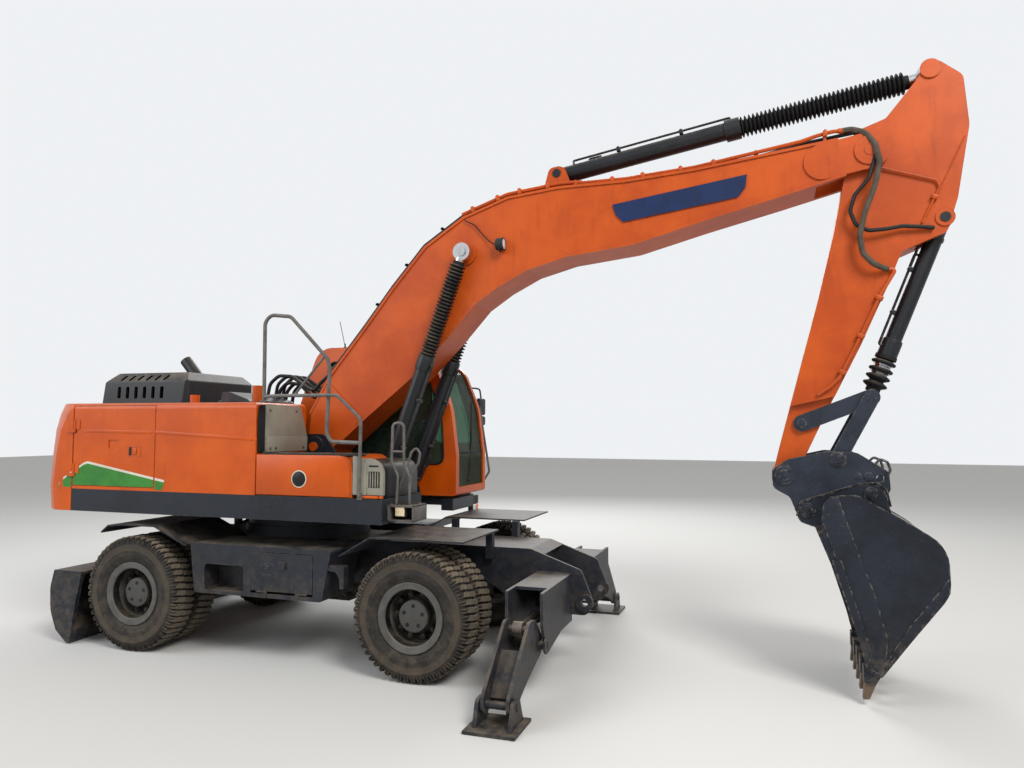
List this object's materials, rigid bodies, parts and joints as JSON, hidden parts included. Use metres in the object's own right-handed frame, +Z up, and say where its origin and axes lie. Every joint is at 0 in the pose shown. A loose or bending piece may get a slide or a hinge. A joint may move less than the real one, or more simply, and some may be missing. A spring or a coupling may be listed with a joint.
{
  "type": "wheeled excavator",
  "caption": "Wheeled excavator with twin tyres, rear blade, front outriggers, cab on the left, one-piece boom, arm and digging bucket on a quick coupler.",
  "frame": {"origin": "on the ground below the middle of the outline, with the outriggers down and the boom over them; the slew axis is 1.66 m towards -X", "axes": "+X towards the outrigger end, over which the boom stands; +Y to the cab side; +Z up"},
  "size_m": [8.8735, 4.1, 5.088],
  "materials": {
    "orange_paint": "satin",
    "dark_paint": "satin",
    "rim_paint": "matte",
    "cast_housing": "rough",
    "rod_chrome": "polished",
    "tyre_rubber": "matte",
    "boot_rubber": "matte",
    "cab_glazing": "clear",
    "cab_plastic": "matte"
  },
  "bodies": {
    "undercarriage": {"chassis": "dark_paint", "outrigger_beam": "dark_paint", "mudguards": "dark_paint", "side_boxes": "dark_paint", "front_axle": "dark_paint", "rear_axle": "dark_paint", "drivetrain": "cast_housing"},
    "side_box_door": {"side_box_door": "dark_paint"},
    "steering_rod": {"steering_rod": "rod_chrome"},
    "knuckle_left": {"knuckle_left": "dark_paint"},
    "knuckle_right": {"knuckle_right": "dark_paint"},
    "blade": {"blade": "dark_paint"},
    "blade_barrels": {"blade_barrels": "dark_paint"},
    "blade_rods": {"blade_rods": "rod_chrome"},
    "upper": {"platform": "dark_paint", "counterweight": "orange_paint", "engine": "cast_housing", "body_shell": "orange_paint", "tool_box": "orange_paint", "handrails": "dark_paint", "cab_shell": "orange_paint", "cab_glass": "cab_glazing", "cab_interior": "cab_plastic"},
    "engine_hood": {"engine_hood": "dark_paint"},
    "pump_door": {"pump_door": "orange_paint"},
    "radiator_door": {"radiator_door": "orange_paint"},
    "tool_box_lid": {"tool_box_lid": "dark_paint"},
    "cab_door": {"cab_door": "orange_paint"},
    "boom": {"boom": "orange_paint", "boom_lines": "orange_paint"},
    "boom_barrels": {"boom_barrels": "dark_paint"},
    "boom_rods": {"boom_rods": "rod_chrome", "boom_boots": "boot_rubber"},
    "arm": {"arm": "orange_paint", "arm_lines": "orange_paint"},
    "arm_barrel": {"arm_barrel": "dark_paint"},
    "arm_rod": {"arm_rod": "rod_chrome", "arm_boot": "boot_rubber"},
    "bucket_barrel": {"bucket_barrel": "dark_paint"},
    "bucket_rod": {"bucket_rod": "rod_chrome"},
    "rocker_links": {"rocker_links": "dark_paint"},
    "push_link": {"push_link": "dark_paint"},
    "coupler": {"coupler": "dark_paint", "bucket": "dark_paint"},
    "wheel_front_left": {"rim_front_left": "rim_paint", "tyre_front_left": "tyre_rubber"},
    "wheel_front_right": {"rim_front_right": "rim_paint", "tyre_front_right": "tyre_rubber"},
    "wheel_rear_left": {"rim_rear_left": "rim_paint", "tyre_rear_left": "tyre_rubber"},
    "wheel_rear_right": {"rim_rear_right": "rim_paint", "tyre_rear_right": "tyre_rubber"},
    "leg_left": {"leg_left": "dark_paint"},
    "pad_left": {"pad_left": "dark_paint"},
    "leg_barrel_left": {"leg_barrel_left": "dark_paint"},
    "leg_rod_left": {"leg_rod_left": "rod_chrome"},
    "leg_right": {"leg_right": "dark_paint"},
    "pad_right": {"pad_right": "dark_paint"},
    "leg_barrel_right": {"leg_barrel_right": "dark_paint"},
    "leg_rod_right": {"leg_rod_right": "rod_chrome"}
  },
  "joints": [
    {"name": "steer_left", "type": "hinge", "parent": "undercarriage", "child": "knuckle_left", "pos_m": [0.09, 0.61, 0.528], "axis": [0, 0, 1], "range_deg": [-25, 25]},
    {"name": "steer_right", "type": "hinge", "parent": "undercarriage", "child": "knuckle_right", "pos_m": [0.09, -0.61, 0.528], "axis": [0, 0, 1], "range_deg": [-25, 25]},
    {"name": "steering_rod_slide", "type": "slide", "parent": "undercarriage", "child": "steering_rod", "axis": [0, 1, 0], "range_m": [-0.0823, 0.0823]},
    {"name": "wheel_front_left", "type": "hinge", "parent": "knuckle_left", "child": "wheel_front_left", "pos_m": [0.09, 1.1175, 0.528], "axis": [0, 1, 0], "continuous": true},
    {"name": "wheel_front_right", "type": "hinge", "parent": "knuckle_right", "child": "wheel_front_right", "pos_m": [0.09, -1.1175, 0.528], "axis": [0, 1, 0], "continuous": true},
    {"name": "wheel_rear_left", "type": "hinge", "parent": "undercarriage", "child": "wheel_rear_left", "pos_m": [-2.76, 1.1175, 0.528], "axis": [0, 1, 0], "continuous": true},
    {"name": "wheel_rear_right", "type": "hinge", "parent": "undercarriage", "child": "wheel_rear_right", "pos_m": [-2.76, -1.1175, 0.528], "axis": [0, 1, 0], "continuous": true},
    {"name": "leg_right", "type": "hinge", "parent": "undercarriage", "child": "leg_right", "pos_m": [1.07, -1.19, 0.4], "axis": [-1, 0, 0], "range_deg": [0, 95]},
    {"name": "pad_right", "type": "hinge", "parent": "leg_right", "child": "pad_right", "pos_m": [1.07, -1.86, 0.15], "axis": [1, 0, 0], "range_deg": [-15, 15]},
    {"name": "leg_barrel_right", "type": "hinge", "parent": "undercarriage", "child": "leg_barrel_right", "pos_m": [1.07, -0.39, 0.56], "axis": [-1, 0, 0], "range_deg": [-0.5, 7.22]},
    {"name": "leg_rod_right", "type": "slide", "parent": "leg_barrel_right", "child": "leg_rod_right", "axis": [0, -1, 0.001], "range_m": [-0.36919, 0.005]},
    {"name": "leg_left", "type": "hinge", "parent": "undercarriage", "child": "leg_left", "pos_m": [1.07, 1.19, 0.4], "axis": [1, 0, 0], "range_deg": [0, 95]},
    {"name": "pad_left", "type": "hinge", "parent": "leg_left", "child": "pad_left", "pos_m": [1.07, 1.86, 0.15], "axis": [1, 0, 0], "range_deg": [-15, 15]},
    {"name": "leg_barrel_left", "type": "hinge", "parent": "undercarriage", "child": "leg_barrel_left", "pos_m": [1.07, 0.39, 0.56], "axis": [1, 0, 0], "range_deg": [-0.5, 7.22]},
    {"name": "leg_rod_left", "type": "slide", "parent": "leg_barrel_left", "child": "leg_rod_left", "axis": [0, 1, 0.001], "range_m": [-0.36919, 0.005]},
    {"name": "blade_lift", "type": "hinge", "parent": "undercarriage", "child": "blade", "pos_m": [-2.99, 0, 0.64], "axis": [0, 1, 0], "range_deg": [-10, 35]},
    {"name": "blade_barrel_swing", "type": "hinge", "parent": "undercarriage", "child": "blade_barrels", "pos_m": [-3.09, 0, 0.9], "axis": [0, 1, 0], "range_deg": [-8.44, 28.3]},
    {"name": "blade_rod_slide", "type": "slide", "parent": "blade_barrels", "child": "blade_rods", "axis": [-0.6088, 0, -0.7933], "range_m": [-0.16236, 0.04996]},
    {"name": "slew", "type": "hinge", "parent": "undercarriage", "child": "upper", "pos_m": [-1.66, 0, 1.12], "axis": [0, 0, 1], "continuous": true},
    {"name": "boom_lift", "type": "hinge", "parent": "upper", "child": "boom", "pos_m": [-1.43, 0, 1.885], "axis": [0, -1, 0], "range_deg": [-53, 31]},
    {"name": "boom_barrel_swing", "type": "hinge", "parent": "upper", "child": "boom_barrels", "pos_m": [-0.68, 0, 1.425], "axis": [0, -1, 0], "range_deg": [-53.31, 31.39]},
    {"name": "boom_rod_slide", "type": "slide", "parent": "boom_barrels", "child": "boom_rods", "axis": [0.3399, 0, 0.9404], "range_m": [-0.76111, 0.44725], "deforming": ["boom_boots"]},
    {"name": "arm_swing", "type": "hinge", "parent": "boom", "child": "arm", "pos_m": [3.7, 0, 4.36], "axis": [0, 1, 0], "range_deg": [-95, 22]},
    {"name": "arm_barrel_swing", "type": "hinge", "parent": "boom", "child": "arm_barrel", "pos_m": [1.02, 0, 4.47], "axis": [0, 1, 0], "range_deg": [-5.09, 1.56]},
    {"name": "arm_rod_slide", "type": "slide", "parent": "arm_barrel", "child": "arm_rod", "axis": [0.9861, 0, 0.1662], "range_m": [-1.16115, 0.27274], "deforming": ["arm_boot"]},
    {"name": "bucket_curl", "type": "hinge", "parent": "arm", "child": "coupler", "pos_m": [3, 0, 1.7], "axis": [0, 1, 0], "range_deg": [-5, 140]},
    {"name": "rocker_swing", "type": "hinge", "parent": "arm", "child": "rocker_links", "pos_m": [3.145, 0, 2.127], "axis": [0, 1, 0], "range_deg": [-4.26, 105.78]},
    {"name": "push_link_swing", "type": "hinge", "parent": "rocker_links", "child": "push_link", "pos_m": [3.68, 0, 2.34], "axis": [0, 1, 0], "range_deg": [-76.85, 3.23]},
    {"name": "bucket_barrel_swing", "type": "hinge", "parent": "arm", "child": "bucket_barrel", "pos_m": [4.245, 0, 3.775], "axis": [0, 1, 0], "range_deg": [-2.73, 0.58]},
    {"name": "bucket_rod_slide", "type": "slide", "parent": "bucket_barrel", "child": "bucket_rod", "axis": [-0.3664, 0, -0.9305], "range_m": [-0.03939, 0.96786]},
    {"name": "engine_hood_lift", "type": "hinge", "parent": "upper", "child": "engine_hood", "pos_m": [-2.26, 0, 2.325], "axis": [0, 1, 0], "range_deg": [0, 55]},
    {"name": "pump_door_swing", "type": "hinge", "parent": "upper", "child": "pump_door", "pos_m": [-3.485, -1.256, 1.9], "axis": [0, 0, -1], "range_deg": [0, 100]},
    {"name": "radiator_door_swing", "type": "hinge", "parent": "upper", "child": "radiator_door", "pos_m": [-3.485, 1.256, 1.9], "axis": [0, 0, 1], "range_deg": [0, 100]},
    {"name": "tool_lid_lift", "type": "hinge", "parent": "upper", "child": "tool_box_lid", "pos_m": [-1.38, -0.9, 1.849], "axis": [0, -1, 0], "range_deg": [0, 70]},
    {"name": "cab_door_swing", "type": "hinge", "parent": "upper", "child": "cab_door", "pos_m": [-2.055, 1.282, 2.2], "axis": [0, 0, 1], "range_deg": [0, 120]},
    {"name": "side_box_door_drop", "type": "hinge", "parent": "undercarriage", "child": "side_box_door", "pos_m": [-1.145, -1.221, 0.64], "axis": [1, 0, 0], "range_deg": [0, 85]}
  ],
  "couplings": [
    {"joint": "steer_right", "follows": "steer_left", "ratio": 1},
    {"joint": "steering_rod_slide", "follows": "steer_left", "m_per_rad": -0.18403},
    {"joint": "leg_barrel_right", "follows": "leg_right", "ratio": 0.070696},
    {"joint": "leg_rod_right", "follows": "leg_right", "m_per_rad": -0.21965},
    {"joint": "leg_barrel_left", "follows": "leg_left", "ratio": 0.070696},
    {"joint": "leg_rod_left", "follows": "leg_left", "m_per_rad": -0.21965},
    {"joint": "blade_barrel_swing", "follows": "blade_lift", "ratio": 0.79427},
    {"joint": "blade_rod_slide", "follows": "blade_lift", "m_per_rad": -0.2576},
    {"joint": "boom_barrel_swing", "follows": "boom_lift", "ratio": 0.99648},
    {"joint": "boom_rod_slide", "follows": "boom_lift", "m_per_rad": 0.81739},
    {"joint": "arm_barrel_swing", "follows": "arm_swing", "ratio": 0.048341},
    {"joint": "arm_rod_slide", "follows": "arm_swing", "m_per_rad": 0.69729},
    {"joint": "rocker_swing", "follows": "bucket_curl", "ratio": 0.752},
    {"joint": "push_link_swing", "follows": "bucket_curl", "ratio": -0.54532},
    {"joint": "bucket_barrel_swing", "follows": "bucket_curl", "ratio": -0.015922},
    {"joint": "bucket_rod_slide", "follows": "bucket_curl", "m_per_rad": 0.39405}
  ]
}
